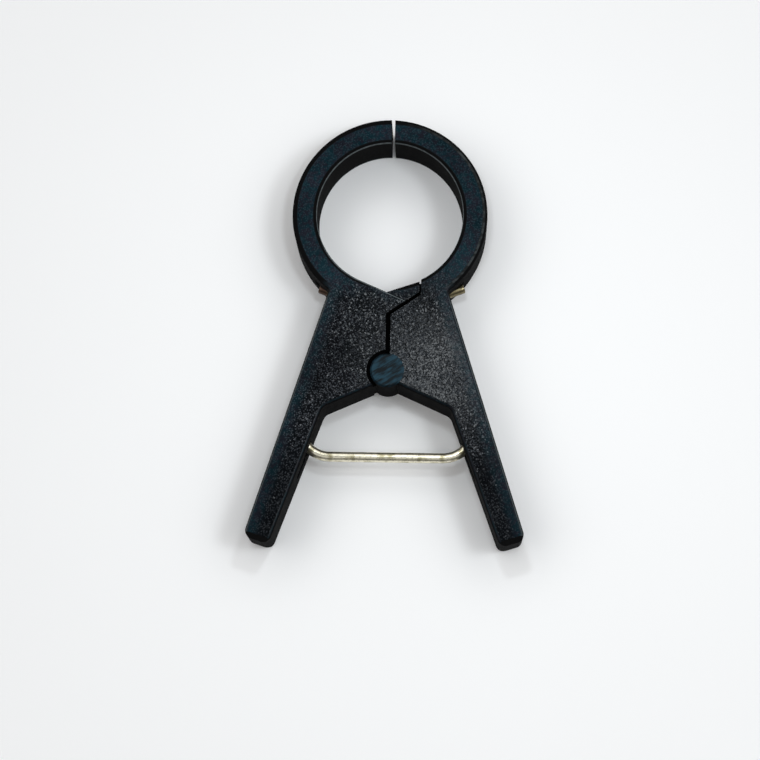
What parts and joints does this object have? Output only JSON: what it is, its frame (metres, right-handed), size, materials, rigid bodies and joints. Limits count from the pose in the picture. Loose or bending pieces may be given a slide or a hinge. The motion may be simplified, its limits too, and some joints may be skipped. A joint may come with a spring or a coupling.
{
  "type": "spring clamp",
  "caption": "Spring clamp that snaps round a tube: half-ring jaws with handles turn on a moulded knuckle, and a bent wire passed through both handles shuts them.",
  "frame": {"origin": "the axis of the round grip, on the clamp's back face, with the jaws shut", "axes": "+Z through the thickness, from the back face to the front; +Y from the handles to the ring; +X towards the jaw that carries the knuckle's boss"},
  "size_m": [0.0402, 0.0634, 0.0086],
  "materials": {
    "jaw_plastic": "fine spark-eroded grain",
    "spring_wire": "drawn wire with a pale yellow passivation"
  },
  "bodies": {
    "right_half": {"right_jaw": "jaw_plastic"},
    "spring": {"wire_spring": "spring_wire"},
    "left_half": {"left_jaw": "jaw_plastic"}
  },
  "joints": [
    {"name": "spring_swing", "type": "hinge", "parent": "right_half", "child": "spring", "pos_m": [0, -0.02345, 0.0043], "axis": [0, 0, 1], "range_deg": [0, 17.5], "stiffness_Nm_per_rad": 0.6, "springref_deg": -0.57, "deforming": ["wire_spring"]},
    {"name": "jaw_swing", "type": "hinge", "parent": "spring", "child": "left_half", "pos_m": [0, -0.02345, 0.0043], "axis": [0, 0, 1], "range_deg": [0, 17.5], "stiffness_Nm_per_rad": 0.6, "springref_deg": -0.57, "deforming": ["wire_spring"]}
  ],
  "couplings": [
    {"joint": "spring_swing", "follows": "jaw_swing", "ratio": 1}
  ]
}
